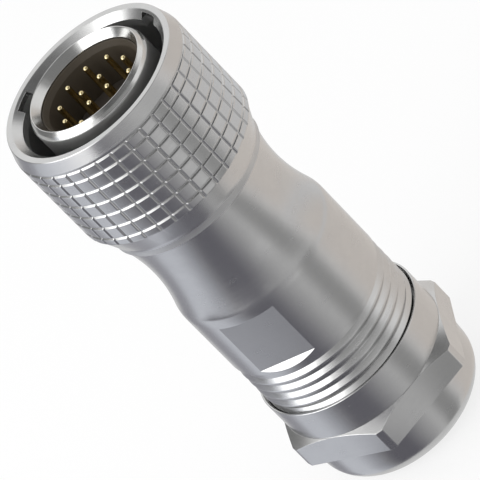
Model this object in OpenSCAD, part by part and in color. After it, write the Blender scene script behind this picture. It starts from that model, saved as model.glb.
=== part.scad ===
// Circular bayonet cable plug: knurled coupling ring, pin insert, waisted housing and gland nut.
// All sizes are millimetres. The plug stands on the rear of its gland nut, mating face up along +Z.

/* [Coupling ring] */
// Radius over the knurled grip
ring_r = 17; // [16.5:0.1:18]
// Length of the ring
ring_len = 25.4; // [24.6:0.1:28]
// Wall between the bayonet track and the grip
ring_wall = 2; // [1.6:0.1:2.4]
// How far the front band tapers in
band_step = 0.87; // [0.4:0.01:1]
// Length of the tapered front band
band_len = 2.7; // [1.5:0.1:3]
// Width of the lead-in chamfer at the mouth
lead_in = 1.3; // [0.8:0.05:1.4]
// Length of the lip behind the chamfer
lip_len = 1.65; // [1.2:0.05:2.5]
// How far the lip stands in from the bayonet track
lip_step = 1.2; // [1:0.05:1.5]
// Gap between barrel and lip, where the mating shell goes in
mating_gap = 2.3; // [2:0.05:2.4]
// Number of entry notches for the bayonet studs
notch_count = 3; // [2:1:4]
// Width of an entry notch, in degrees
notch_angle = 16; // [12:0.5:20]
// How far a notch stays inside the bayonet track
notch_step = 0.3; // [0.15:0.05:0.5]
// Turn of the first notch from +X, in degrees
notch_turn = 10.5; // [0:0.5:120]
// Thickness of the web that runs on the shell
web_t = 3.5; // [2.5:0.1:4.5]
// Depth of the recess behind the web
recess_len = 6.3; // [5.8:0.1:7]
// Wall of the tail round the recess
tail_wall = 1.35; // [1:0.05:1.6]
// Length of the tapered tail
taper_len = 5.2; // [4:0.1:6.5]
// Straight end of the tail, blended into the taper
tail_land = 1.1; // [0.6:0.05:1.5]

/* [Knurl] */
// Number of lengthwise grooves
knurl_columns = 36; // [24:1:48]
// Turn of the first lengthwise groove from +X, in degrees
knurl_turn = 2.3; // [0:0.1:15]
// Spacing of the grooves that run round the ring
row_pitch = 2.745; // [2:0.005:4]
// Height of the short first row
first_row = 2.08; // [1:0.01:3]
// Depth of the lengthwise grooves
column_depth = 0.22; // [0.16:0.02:0.4]
// Depth of the grooves that run round
row_depth = 0.28; // [0.24:0.02:0.6]

/* [Plug shell] */
// Wall of the barrel
barrel_wall = 1.85; // [1.5:0.05:2]
// How far the barrel stands out of the ring
barrel_proud = 0.9; // [0.3:0.1:2]
// Width of the bevel outside the barrel's mouth
nose_r = 0.83; // [0.6:0.01:0.9]
// Length of that bevel
nose_len = 1.3; // [0.9:0.1:1.6]
// Length of the bevel inside the barrel's mouth
mouth_len = 1.5; // [1:0.1:1.8]
// Width of the barrel's front edge
edge_w = 0.1; // [0.05:0.05:0.3]
// Thickness of the flange that stops the ring
flange_t = 1.6; // [1.2:0.1:2]
// Thickness of the face gasket
gasket_t = 1.5; // [1:0.1:2]
// Depth of the undercut that holds the face gasket
gasket_grip = 0.2; // [0.1:0.05:0.4]
// Wall of the shell under the thread that joins it to the housing
joint_wall = 1.8; // [1.5:0.05:2]
// Length of that thread
joint_len = 9.4; // [8:0.1:11]
// Step from the thread up to the journal of the ring
shoulder_w = 0.6; // [0.4:0.05:0.7]
// Radius of the O-ring's section
cord_r = 0.46; // [0.38:0.02:0.5]
// Land in front of the O-ring's groove
cord_land = 0.4; // [0.3:0.05:0.6]

/* [Ring retention] */
// Thickness of the circlip
circlip_t = 1.2; // [1:0.05:1.4]
// Depth of the circlip's groove
circlip_depth = 0.7; // [0.5:0.05:0.9]
// How far the circlip stands out of its groove
circlip_lip = 0.7; // [0.5:0.05:0.8]
// Opening of the circlip, in degrees
circlip_gap = 34; // [20:1:60]
// Thickness of the wave washer
wave_t = 0.7; // [0.4:0.05:0.9]

/* [Insulator] */
// Wall of the liner that insulates the barrel's bore
liner_t = 0.7; // [0.4:0.05:1]
// Drop of the liner's rim below the bevel inside the barrel's mouth
rim_drop = 0.2; // [0.1:0.05:1]
// Width of the bevel inside the liner's rim
rim_bevel = 0.5; // [0.2:0.05:0.6]
// Length of that bevel
rim_bevel_len = 1; // [0.5:0.1:1.5]
// Length of the insulator from its floor to its flange
core_len = 9.6; // [8:0.1:10.5]
// Step of the flange that locks the insulator
insert_step = 0.5; // [0.3:0.05:0.6]
// Thickness of that flange
insert_flange_t = 3; // [2:0.1:3.5]
// Length of the boss behind the flange
boss_len = 3.5; // [3:0.1:4.5]
// Step from the flange in to the boss
boss_step = 1; // [0.6:0.1:1.4]
// Thickness of the retaining ring
retainer_t = 2; // [1.2:0.1:2.5]
// Width of the polarising key
key_w = 1.6; // [1:0.1:2]
// Height of the polarising key
key_h = 0.6; // [0.3:0.05:0.8]

/* [Contacts] */
// Number of pins on the outer circle
outer_count = 10; // [6:1:12]
// Number of pins on the inner circle
inner_count = 4; // [3:1:5]
// Distance from the liner in to the outer circle
pin_margin = 2.06; // [1.8:0.02:2.6]
// Radius of the inner circle
inner_circle_r = 2.73; // [2.6:0.01:3]
// Turn of the outer circle from +X, in degrees
outer_turn = 6.5; // [0:0.5:36]
// Turn of the inner circle from +X, in degrees
inner_turn = 42.3; // [0:0.1:90]
// Radius of a pin
pin_r = 0.5; // [0.4:0.05:0.6]
// Depth of the pin tips below the liner's rim
pin_recess = 0.65; // [0.4:0.05:2]
// Free length of a pin over the insulator's floor
pin_reach = 7.05; // [5:0.05:8]
// Radius of the contact inside the insulator
contact_r = 0.8; // [0.7:0.05:0.9]
// Length of the close guide round a pin, at the insulator's floor
guide_len = 1; // [0.6:0.1:2]
// Radius of the solder cup
cup_r = 1.1; // [1:0.05:1.2]
// Length of the solder cup
cup_len = 5; // [4:0.1:5.5]
// Wall of the solder cup
cup_wall = 0.3; // [0.2:0.05:0.4]

/* [Housing] */
// Wall of the waist over the joint thread
neck_wall = 1.7; // [1.4:0.05:2]
// Step from the waist out to the plain grip
waist_depth = 1.6; // [1.2:0.05:2]
// Radius of the hollow of the neck
neck_round = 30; // [24:0.5:36]
// Length of the neck, from grip to front face
neck_len = 17.4; // [16.5:0.1:20]
// Length of the plain grip
grip_len = 13.9; // [13.4:0.1:18]
// Depth of a wrench flat below the grip
flat_depth = 1; // [0.6:0.05:1.3]
// Length of a wrench flat
flat_len = 11.3; // [8:0.1:12]
// Land between neck and wrench flat
flat_land = 1.5; // [1:0.1:2]
// Turn of the wrench flats from +X, in degrees
flat_turn = 55; // [0:1:90]
// Ledge where the joint thread's socket ends
socket_ledge = 0.4; // [0.2:0.05:0.6]
// Spare depth of that socket
socket_spare = 0.5; // [0.2:0.1:1]
// Thickness of the flange that carries the cable seal
seat_t = 3; // [2:0.1:4]

/* [Gland thread] */
// Pitch of the gland thread
thread_pitch = 2; // [1.5:0.1:2.2]
// Turns left bare in front of the nut
free_turns = 5; // [4:0.5:8]
// Turns held in the nut
held_turns = 3.6; // [3.2:0.1:4]
// Turns from the loose seal to the tight one
tighten_turns = 2; // [1:0.1:2.2]
// Step from the grip down to the thread's crest
crest_step = 0.1; // [0:0.05:0.3]
// Depth of the thread
thread_depth = 0.75; // [0.5:0.05:0.9]

/* [Gland nut] */
// Height of the domed end
dome_h = 8.9; // [8.5:0.1:10]
// Radius of the dome's edge
dome_round = 5.5; // [4:0.1:6]
// Step from the hexagon's flats in to the dome
dome_step = 0.1; // [0.05:0.05:0.4]
// Taper of the dome's side
dome_taper = 0.2; // [0.1:0.05:0.5]
// Height of the hexagon
hex_h = 5.6; // [4.5:0.1:8]
// Height of the collar
collar_h = 6.5; // [6:0.1:9]
// Wall of the collar round the thread
collar_wall = 0.6; // [0.55:0.05:1]
// Lead-in chamfer inside the collar's mouth
mouth_chamfer = 0.35; // [0.2:0.05:0.4]
// Broken edge outside the collar's mouth
mouth_edge = 0.1; // [0.05:0.05:0.15]
// Step from the collar out to the hexagon's flats
hex_step = 0.1; // [0.05:0.05:0.5]
// How much is turned off the hexagon's corners
corner_cut = 0.37; // [0.1:0.01:0.8]
// Turn of the hexagon's first corner from +X, in degrees
hex_turn = 11; // [0:0.5:60]
// Thickness of the end wall
nut_floor_t = 4; // [3:0.1:4.5]
// Chamfer of the cable hole
hole_chamfer = 0.8; // [0.3:0.1:1]

/* [Cable seal] */
// Wall of the housing round the rubber bush
pocket_wall = 2.15; // [1.8:0.05:2.5]
// Width of the washers at the ends of the bush
washer_w = 3.8; // [3.4:0.05:4.2]
// How far the cable hole stands in from the washers
hole_step = 0.4; // [0.2:0.05:0.6]
// How far the bore of the bush stands in from the cable hole
seal_step = 1.05; // [0.6:0.05:1.5]
// Length of the bush
seal_len = 14.5; // [13.5:0.1:16]
// Thickness of the thrust washer
thrust_t = 2; // [1.5:0.1:2.5]
// Thickness of the seal's seat washer
seat_washer_t = 1; // [0.8:0.1:1.5]

/* [Clearances] */
// Gap between faces that slide or seat on each other
seat_gap = 0.05; // [0.02:0.01:0.1]
// Radial gap of running and slip fits
run_gap = 0.05; // [0.02:0.01:0.1]
// Gap round loose inner pieces
loose_gap = 0.3; // [0.2:0.05:0.4]
// Gap between the ring's rear edge and the housing
ring_gap = 0.3; // [0.2:0.05:0.6]

/* [Hidden] */
$fn = 128;
bite = 1;
chamfer_s = 0.3;

// Radii, from the grip in to the contacts and out again to the nut
track_r = ring_r - ring_wall;
lip_r = track_r - lip_step;
barrel_r = lip_r - mating_gap;
bore_r = barrel_r - barrel_wall;
liner_r = bore_r - run_gap;
well_r = liner_r - liner_t;
outer_circle_r = well_r - pin_margin;
insert_flange_r = liner_r + insert_step;
insert_bore_r = insert_flange_r + 2 * run_gap;
boss_r = insert_flange_r - boss_step;
joint_r = insert_bore_r + joint_wall;
journal_r = joint_r + shoulder_w;
flange_r = track_r - 2 * loose_gap;
circlip_r = journal_r + circlip_lip;
recess_r = circlip_r + loose_gap;
tail_r = recess_r + tail_wall;
cavity_r = joint_r - socket_ledge;
waist_r = joint_r + neck_wall;
body_r = waist_r + waist_depth;
flat_r = body_r - flat_depth;
crest_r = body_r - crest_step;
root_r = crest_r - thread_depth;
nut_bore_r = crest_r + 2 * run_gap;
collar_r = nut_bore_r + collar_wall;
hex_flat_r = collar_r + hex_step;
hex_corner_r = hex_flat_r / cos(30);
hex_turned_r = hex_corner_r - corner_cut;
hex_chamfer = (hex_turned_r - hex_flat_r) * tan(30);
dome_top_r = hex_flat_r - dome_step;
dome_side_r = dome_top_r - dome_taper;
dome_flat_r = dome_side_r - dome_round;
pocket_r = root_r - pocket_wall;
chamber_r = pocket_r + loose_gap;
seal_r = pocket_r - loose_gap;
washer_bore_r = seal_r - washer_w;
cable_hole_r = washer_bore_r - hole_step;
seal_bore_r = cable_hole_r - seal_step;
cord_circle_r = joint_r - cord_r;
cord_groove_r = cord_circle_r - cord_r - seat_gap;
mouth_r = barrel_r - nose_r - edge_w;

// Heights, from the nut's end up
hex_z = dome_h;
collar_z = hex_z + hex_h;
mouth_z = collar_z + collar_h;
gland_travel = tighten_turns * thread_pitch;
thrust_z = nut_floor_t + seat_gap;
seal_z = thrust_z + thrust_t + seat_gap;
seat_washer_z = seal_z + seal_len + seat_gap;
seat_z = seat_washer_z + seat_washer_t + seat_gap;
housing_z = mouth_z - held_turns * thread_pitch;
relief_z = housing_z - gland_travel - 2 * loose_gap;
grip_z = mouth_z + free_turns * thread_pitch;
neck_z = grip_z + grip_len;
waist_h = body_r - waist_r;
waist_rise = sqrt(2 * neck_round * waist_h - pow(waist_h, 2));
face_z = neck_z + neck_len;
flat_front_z = neck_z - flat_land;
flat_rear_z = flat_front_z - flat_len;

socket_z = face_z - joint_len - socket_spare;
cord_groove_w = 2 * cord_r + 4 * seat_gap;
cord_groove_z = face_z - cord_land - cord_groove_w;

ring_z = face_z + ring_gap;
ring_top_z = ring_z + ring_len;
web_z = ring_z + recess_len;
flange_z = web_z + web_t + 2 * seat_gap;
gasket_z = flange_z + flange_t;
lip_z = ring_top_z - lead_in - lip_len;
wave_z = web_z - seat_gap - wave_t;
circlip_z = wave_z - seat_gap - circlip_t;
knurl_z = ring_z + taper_len;
band_z = ring_top_z - band_len;
row_count = floor((band_z - first_row - knurl_z - row_depth) / row_pitch) + 1;

crest_z = ring_top_z + barrel_proud;
nose_knee = [0.4, 0.5];
rim_z = crest_z - mouth_len - rim_drop;
tip_z = rim_z - pin_recess;
floor_z = tip_z - pin_reach;
insert_z = floor_z - core_len;
retainer_z = insert_z - insert_flange_t;
boss_z = retainer_z - boss_len;
pin_count = outer_count + inner_count;

// A plain ring: outer radius, inner radius, height, height of its lower face
module washer(outer, inner, height, z) {
    translate([0, 0, z])
        difference() {
            cylinder(r = outer, h = height);
            translate([0, 0, -bite])
                cylinder(r = inner, h = height + 2 * bite);
        }
}

// A cylinder that only cuts, from one height to another
module bore(radius, low, high) {
    translate([0, 0, low])
        cylinder(r = radius, h = high - low);
}

// A cone that only cuts, from a radius to a wider one at its upper face, and on past that face
module flare(narrow, wide, length, high) {
    past = bite * (wide - narrow) / length;
    translate([0, 0, high - length])
        cylinder(r1 = narrow, r2 = wide + past, h = length + bite);
}

// Outline of the coupling ring from its axis out, with the tapered band and tail
module ring_outline() {
    taper_z = ring_z + tail_land;
    taper_angle = atan((ring_r - tail_r) / (knurl_z - taper_z));
    fillet_r = tail_land / tan(taper_angle / 2);
    blend = [tail_land * sin(taper_angle), tail_land * cos(taper_angle)];
    polygon([
        [0, ring_z], [tail_r, ring_z], [tail_r, taper_z],
        [ring_r, knurl_z], [ring_r, band_z], [ring_r - band_step, ring_top_z], [0, ring_top_z]
    ]);
    difference() {
        polygon([[tail_r, ring_z], [tail_r + blend.x, taper_z + blend.y], [tail_r, taper_z]]);
        translate([tail_r + fillet_r, ring_z])
            circle(r = fillet_r);
    }
}

// Grooves of the knurled grip, as solids to cut away
module knurl_grooves() {
    for (i = [0:knurl_columns - 1])
        rotate(knurl_turn + i * 360 / knurl_columns)
            translate([ring_r, 0, knurl_z])
                rotate(45)
                    translate([-column_depth / sqrt(2), -column_depth / sqrt(2), 0])
                        cube([column_depth * sqrt(2), column_depth * sqrt(2), band_z - knurl_z]);
    for (z = concat([knurl_z, band_z], [for (k = [0:row_count - 1]) band_z - first_row - k * row_pitch]))
        rotate_extrude()
            polygon([
                [ring_r - row_depth, z], [ring_r + bite, z - row_depth - bite],
                [ring_r + bite, z + row_depth + bite]
            ]);
}

module coupling_ring() {
    color("silver")
        difference() {
            rotate_extrude()
                ring_outline();
            bore(recess_r, ring_z - bite, web_z);
            bore(journal_r + run_gap, web_z - bite, web_z + web_t + bite);
            bore(track_r, web_z + web_t, lip_z);
            bore(lip_r, lip_z - bite, ring_top_z + bite);
            flare(lip_r, lip_r + lead_in, lead_in, ring_top_z);
            for (i = [0:notch_count - 1])
                rotate(notch_turn - notch_angle / 2 + i * 360 / notch_count)
                    rotate_extrude(angle = notch_angle)
                        translate([lip_r - bite, lip_z - bite])
                            square([track_r - notch_step - lip_r + bite, ring_top_z - lip_z + 2 * bite]);
            knurl_grooves();
        }
}

module plug_shell() {
    groove_z = circlip_z - seat_gap;
    gasket_top_z = gasket_z + gasket_t + seat_gap;
    color("lightgray")
        difference() {
            rotate_extrude()
                polygon([
                    [0, face_z - joint_len], [joint_r - chamfer_s, face_z - joint_len],
                    [joint_r, face_z - joint_len + chamfer_s], [joint_r, face_z], [journal_r, face_z],
                    [journal_r, flange_z], [flange_r, flange_z], [flange_r, gasket_z],
                    [barrel_r - gasket_grip, gasket_z], [barrel_r - gasket_grip, gasket_top_z],
                    [barrel_r, gasket_top_z], [barrel_r, crest_z - nose_len],
                    [barrel_r - nose_r * nose_knee.x, crest_z - nose_len * nose_knee.y],
                    [barrel_r - nose_r, crest_z], [0, crest_z]
                ]);
            bore(bore_r, insert_z - bite, crest_z + bite);
            bore(insert_bore_r, face_z - joint_len - bite, insert_z);
            flare(bore_r, mouth_r, mouth_len, crest_z);
            washer(circlip_r + bite, journal_r - circlip_depth, circlip_t + 2 * seat_gap, groove_z);
            washer(joint_r + bite, cord_groove_r, cord_groove_w, cord_groove_z);
        }
}

module insulator() {
    color("#161617")
        difference() {
            union() {
                bore(liner_r, insert_z, floor_z);
                bore(insert_flange_r, retainer_z, insert_z);
                bore(boss_r, boss_z, retainer_z + bite / 2);
            }
            for (i = [1:pin_count])
                place_contact(i) {
                    bore(pin_r + run_gap, floor_z - guide_len - bite, floor_z + bite);
                    bore(contact_r + run_gap, boss_z - bite, floor_z - guide_len);
                }
        }
}

// The tube that lines the barrel over the insulator's floor, with its polarising key
module insulator_liner() {
    liner_z = floor_z + seat_gap;
    color("#161617")
        difference() {
            bore(liner_r, liner_z, rim_z);
            difference() {
                union() {
                    bore(well_r, liner_z - bite, rim_z + bite);
                    flare(well_r, well_r + rim_bevel, rim_bevel_len, rim_z);
                }
                translate([-key_w / 2, -liner_r, liner_z - 2 * bite])
                    cube([key_w, liner_t + key_h, tip_z - liner_z + 2 * bite]);
            }
        }
}

// Moves its children to the place of one contact
module place_contact(i) {
    outer = i <= outer_count;
    place = outer ? i - 1 : i - 1 - outer_count;
    turn = outer ? outer_turn + place * 360 / outer_count : inner_turn + place * 360 / inner_count;
    rotate(turn)
        translate([outer ? outer_circle_r : inner_circle_r, 0, 0])
            children();
}

module contact_pin(i) {
    cup_z = boss_z - cup_len;
    shoulder_z = floor_z - guide_len - seat_gap;
    color("goldenrod")
        place_contact(i)
            difference() {
                rotate_extrude() {
                    polygon([
                        [0, cup_z], [cup_r, cup_z], [cup_r, boss_z - seat_gap],
                        [contact_r, boss_z - seat_gap],
                        [contact_r, shoulder_z], [pin_r, shoulder_z],
                        [pin_r, tip_z - pin_r], [0, tip_z - pin_r]
                    ]);
                    intersection() {
                        translate([0, tip_z - pin_r])
                            circle(r = pin_r);
                        translate([0, tip_z - pin_r])
                            square(pin_r);
                    }
                }
                bore(cup_r - cup_wall, cup_z - bite, boss_z - cup_r);
                translate([0, -cup_r, cup_z - bite])
                    cube([cup_r + bite, 2 * cup_r, cup_len / 2 + bite]);
            }
}

module insert_retaining_ring() {
    color("darkgray")
        washer(insert_bore_r - run_gap, boss_r + loose_gap, retainer_t, retainer_z - retainer_t);
}

module wave_washer() {
    color("gray")
        washer(circlip_r, journal_r + run_gap, wave_t, wave_z);
}

module coupling_circlip() {
    color("dimgray")
        difference() {
            washer(circlip_r, journal_r - circlip_depth + run_gap, circlip_t, circlip_z);
            rotate(90 - circlip_gap / 2)
                translate([0, 0, circlip_z - bite])
                    rotate_extrude(angle = circlip_gap)
                        square([circlip_r + bite, circlip_t + 2 * bite]);
        }
}

module face_gasket() {
    color("#222222")
        washer(flange_r, barrel_r - gasket_grip + run_gap, gasket_t, gasket_z);
}

// Outline of the housing from its axis out, with the hollow of the neck taken out of it
module housing_outline() {
    difference() {
        polygon([
            [0, housing_z], [root_r - chamfer_s, housing_z], [root_r, housing_z + chamfer_s],
            [root_r, grip_z], [body_r, grip_z], [body_r, face_z], [0, face_z]
        ]);
        translate([waist_r + neck_round, neck_z + waist_rise])
            circle(r = neck_round);
    }
}

// One wrench flat, as a solid to cut away, with its sloped rear end
module wrench_flat() {
    cut = flat_depth + bite;
    intersection() {
        translate([flat_r, -body_r, flat_rear_z - cut])
            cube([cut, 2 * body_r, flat_len + cut]);
        rotate_extrude()
            polygon([
                [0, flat_rear_z], [flat_r, flat_rear_z],
                [flat_r + cut, flat_rear_z - cut], [flat_r + cut, flat_front_z], [0, flat_front_z]
            ]);
    }
}

module housing() {
    color("silver")
        difference() {
            rotate_extrude()
                housing_outline();
            for (side = [0, 180])
                rotate(flat_turn + side)
                    wrench_flat();
            bore(pocket_r, housing_z - bite, seat_z);
            bore(washer_bore_r, seat_z - bite, seat_z + seat_t + bite);
            bore(cavity_r, seat_z + seat_t, face_z);
            bore(joint_r + run_gap, socket_z, face_z + bite);
        }
}

module housing_o_ring() {
    color("#222222")
        rotate_extrude()
            translate([cord_circle_r, cord_groove_z + cord_groove_w / 2])
                circle(r = cord_r);
}

module seal_seat_washer() {
    color("darkgray")
        washer(seal_r, washer_bore_r, seat_washer_t, seat_washer_z);
}

module cable_seal() {
    color("#222222")
        washer(seal_r, seal_bore_r, seal_len, seal_z);
}

module thrust_washer() {
    color("darkgray")
        washer(seal_r, washer_bore_r, thrust_t, thrust_z);
}

// Outline of the nut's domed end from its axis out
module dome_outline() {
    polygon([
        [0, 0], [dome_flat_r, 0], [dome_flat_r, dome_round], [dome_side_r, dome_round],
        [dome_top_r, dome_h], [0, dome_h]
    ]);
    intersection() {
        translate([dome_flat_r, dome_round])
            circle(r = dome_round);
        translate([dome_flat_r, 0])
            square(dome_round);
    }
}

module gland_nut() {
    color("silver")
        difference() {
            union() {
                rotate_extrude()
                    dome_outline();
                intersection() {
                    rotate(hex_turn)
                        translate([0, 0, hex_z])
                            cylinder(r = hex_corner_r, h = hex_h, $fn = 6);
                    rotate_extrude()
                        polygon([
                            [0, hex_z], [hex_turned_r, hex_z], [hex_turned_r, collar_z - hex_chamfer],
                            [hex_flat_r, collar_z], [0, collar_z]
                        ]);
                }
                rotate_extrude()
                    polygon([
                        [0, collar_z - bite], [collar_r, collar_z - bite],
                        [collar_r, mouth_z - mouth_edge], [collar_r - mouth_edge, mouth_z], [0, mouth_z]
                    ]);
            }
            bore(nut_bore_r, relief_z, mouth_z + bite);
            flare(nut_bore_r, nut_bore_r + mouth_chamfer, mouth_chamfer, mouth_z);
            bore(chamber_r, nut_floor_t, relief_z + bite);
            bore(cable_hole_r, -bite, nut_floor_t + bite);
            translate([0, 0, -bite])
                cylinder(
                    r1 = cable_hole_r + hole_chamfer + bite, r2 = cable_hole_r,
                    h = hole_chamfer + bite
                );
        }
}

coupling_ring();
plug_shell();
insulator();
insulator_liner();
for (i = [1:pin_count])
    contact_pin(i);
insert_retaining_ring();
wave_washer();
coupling_circlip();
face_gasket();
housing();
housing_o_ring();
seal_seat_washer();
cable_seal();
thrust_washer();
gland_nut();
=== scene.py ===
import math

import bmesh
import bpy
import numpy as np
from mathutils import Matrix, Vector


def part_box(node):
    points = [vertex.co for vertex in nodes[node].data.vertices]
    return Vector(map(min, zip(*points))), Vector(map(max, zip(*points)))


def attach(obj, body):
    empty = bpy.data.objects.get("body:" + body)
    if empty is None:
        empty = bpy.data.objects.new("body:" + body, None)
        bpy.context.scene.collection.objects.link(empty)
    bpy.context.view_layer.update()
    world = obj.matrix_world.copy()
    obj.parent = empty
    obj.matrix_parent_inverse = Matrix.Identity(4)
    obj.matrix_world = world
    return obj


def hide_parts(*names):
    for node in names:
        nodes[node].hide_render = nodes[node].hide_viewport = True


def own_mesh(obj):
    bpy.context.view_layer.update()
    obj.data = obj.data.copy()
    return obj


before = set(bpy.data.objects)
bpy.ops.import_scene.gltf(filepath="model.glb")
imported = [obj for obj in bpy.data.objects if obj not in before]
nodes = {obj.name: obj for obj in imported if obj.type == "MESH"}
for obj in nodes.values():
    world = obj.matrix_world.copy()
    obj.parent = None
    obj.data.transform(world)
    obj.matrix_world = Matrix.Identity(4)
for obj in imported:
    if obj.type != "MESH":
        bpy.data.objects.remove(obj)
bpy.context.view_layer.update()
MM = 0.001


def heights(node):
    """Lowest and highest point of a solid, in millimetres."""
    low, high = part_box(node)
    return low[2] / MM, high[2] / MM


# Heights from the imported solids, radii and other sizes as in the part's source, all in millimetres. A few are set
# here: the depth of the lengthwise grooves, the thread's root, the neck's blend, the flat's ramp, the ring's tail
RING_LOW, RING_TOP = heights("coupling_ring")
HOUSING_LOW, FACE = heights("housing")
SHELL_LOW, CREST = heights("plug_shell")
GASKET_LOW, GASKET_TOP = heights("face_gasket")
SEAL_LOW, SEAL_TOP = heights("cable_seal")
CLIP_LOW, CLIP_TOP = heights("coupling_circlip")
LINER_LOW, LINER_TOP = heights("insulator_liner")
INSERT_FLOOR = heights("insulator")[1]
PIN_LOW, PIN_TIP = heights("contact_pin_1")
MOUTH = heights("gland_nut")[1]

RING_R, BAND_STEP, BAND_LEN = 17.0, 0.87, 2.7
TAPER_LEN, TAIL_R, TAIL_LAND, TAIL_DROP = 5.2, 14.95, 1.1, 0.2
KNURL_LOW, KNURL_TOP = RING_LOW + TAPER_LEN, RING_TOP - BAND_LEN
KNURL_COLUMNS, KNURL_TURN, COLUMN_DEPTH = 36, 2.3, 0.26
ROW_PITCH, FIRST_ROW, ROW_COUNT, ROW_DEPTH, GROOVE_SHAPE = 2.745, 2.08, 6, 0.28, 1.1
TRACK_R, LIP_R, LIP_LEN, LEAD_IN = 15.0, 13.8, 1.65, 1.3
NOTCH_R, NOTCH_TURN, NOTCH_ANGLE, NOTCH_COUNT = 14.7, 10.5, 16.0, 3
NOTCHES = [NOTCH_TURN + k * 360 / NOTCH_COUNT for k in range(NOTCH_COUNT)]
RECESS_R, RECESS_LEN, WEB_T = 13.6, 6.3, 3.5
BARREL_R, BORE_R, MOUTH_LEN, NOSE_W, NOSE_LEN, EDGE_W = 11.5, 9.65, 1.5, 0.83, 1.3, 0.1
JOURNAL_R, JOINT_R, FLANGE_R, FLANGE_T, INSERT_BORE_R, INSERT_LOW = 12.6, 12.0, 14.4, 1.6, 10.2, 69.9
CORD_GROOVE_R, CORD_GROOVE_W, CORD_LAND, CLIP_DEPTH, GASKET_GRIP = 11.03, 1.12, 0.4, 0.7, 0.2
LINER_R, WELL_R, RIM_BEVEL, RIM_BEVEL_LEN, KEY_W, KEY_H = 9.6, 8.9, 0.5, 1.0, 1.6, 0.6
OUTER_PINS, OUTER_CIRCLE_R, OUTER_TURN = 10, 6.84, 6.5
INNER_PINS, INNER_CIRCLE_R, INNER_TURN = 4, 2.73, 42.3
PIN_R, CONTACT_R, CUP_R, CUP_WALL, CUP_LEN, GUIDE_LEN = 0.5, 0.8, 1.1, 0.3, 5.0, 1.05
BODY_R, WAIST_R, NECK_ROUND, NECK_BLEND, NECK_LEN, GRIP_LEN = 15.3, 13.7, 30.0, 7.0, 17.4, 13.9
NECK_LOW = FACE - NECK_LEN
GRIP_LOW = NECK_LOW - GRIP_LEN
FLAT_R, FLAT_TURN, FLAT_LAND, FLAT_LEN, RAMP_LEN = 14.3, 55.0, 1.5, 11.3, 0.9
POCKET_R, CAVITY_R, WASHER_BORE_R, SEAT_LOW, SEAT_T, SOCKET_LOW = 12.3, 11.6, 8.2, 21.7, 3.0, 52.4
ROOT_R, CREST_R, THREAD_PITCH = 14.68, 15.2, 2.0
DOME_H, DOME_ROUND, DOME_SIDE_R, DOME_TOP_R = 8.9, 5.5, 15.7, 15.9
HEX_FLAT_R, HEX_H, HEX_TURN, CORNER_CUT = 16.0, 5.6, 11.0, 0.37
HEX_TURNED_R = HEX_FLAT_R / math.cos(math.pi / 6) - CORNER_CUT
COLLAR_R, NUT_BORE_R, RELIEF, CHAMBER_R, NUT_FLOOR = 15.9, 15.3, 9.2, 12.6, 4.0
CABLE_HOLE_R, HOLE_CHAMFER = 7.8, 0.8
SEAL_R, SEAL_BORE_R, GLAND_TRAVEL = 12.0, 6.75, 4.0
RUN_GAP, SEAT_GAP, START_CHAMFER, GRIP_EDGE, KEY_TURN = 0.05, 0.05, 0.3, 0.06, 270.0

# Fineness of the turned pieces: points along each curve, and sides round the axis
ROUNDING_STEPS, TAIL_STEPS, TIP_STEPS, BLEND_STEPS, NECK_STEPS, DOME_STEPS = 4, 6, 8, 8, 24, 16
SHELL_SIDES, LINER_SIDES, PIN_SIDES, BODY_SIDES, RUBBER_SIDES = 192, 144, 32, 180, 128
# Points across a groove of the knurl, in half widths from its middle
GROOVE_STEPS = (-1.6, -1.0, -0.75, -0.5, -0.25, 0.0, 0.25, 0.5, 0.75, 1.0, 1.6)


# Camera: fitted to the photo's pins, rims and outline, long lens, rolled so that the plug lies slantwise
def photo_camera():
    elevation, roll = math.radians(31.87), math.radians(44.43)
    back = Vector((0, -math.cos(elevation), math.sin(elevation)))
    level_up = Vector((0, math.sin(elevation), math.cos(elevation)))
    up = level_up * math.cos(roll) + Vector((1, 0, 0)) * math.sin(roll)
    right = up.cross(back)
    data = bpy.data.cameras.new("photo_camera")
    data.lens, data.sensor_width = 424.65, 36.0
    data.clip_start, data.clip_end = 0.05, 20.0
    camera = bpy.data.objects.new("photo_camera", data)
    camera.matrix_world = Matrix((right, up, back)).transposed().to_4x4()
    camera.location = Vector((-0.176, -774.675, 528.95)) * MM
    bpy.context.scene.collection.objects.link(camera)
    bpy.context.scene.camera = camera


photo_camera()


def linear(hex_colour):
    """An sRGB hex colour as linear red, green, blue and full alpha."""
    parts = [int(hex_colour[i : i + 2], 16) / 255 for i in (1, 3, 5)]
    return tuple(c / 12.92 if c <= 0.04045 else ((c + 0.055) / 1.055) ** 2.4 for c in parts) + (1.0,)


def add(tree, kind, inputs=None, **settings):
    """Adds one node. Inputs are values or the sockets that feed them; settings are the node's own fields."""
    made = tree.nodes.new(kind)
    for key, value in settings.items():
        setattr(made, key, value)
    for key, value in (inputs or {}).items():
        if isinstance(value, bpy.types.NodeSocket):
            tree.links.new(value, made.inputs[key])
        else:
            made.inputs[key].default_value = value
    return made


def new_finish(name):
    """An empty node material and its tree."""
    material = bpy.data.materials.new(name)
    material.use_nodes = True
    material.node_tree.nodes.clear()
    return material, material.node_tree


# Finishes. Most of a noise lies between these two values
NOISE_LOW, NOISE_HIGH = 0.3, 0.7


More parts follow.
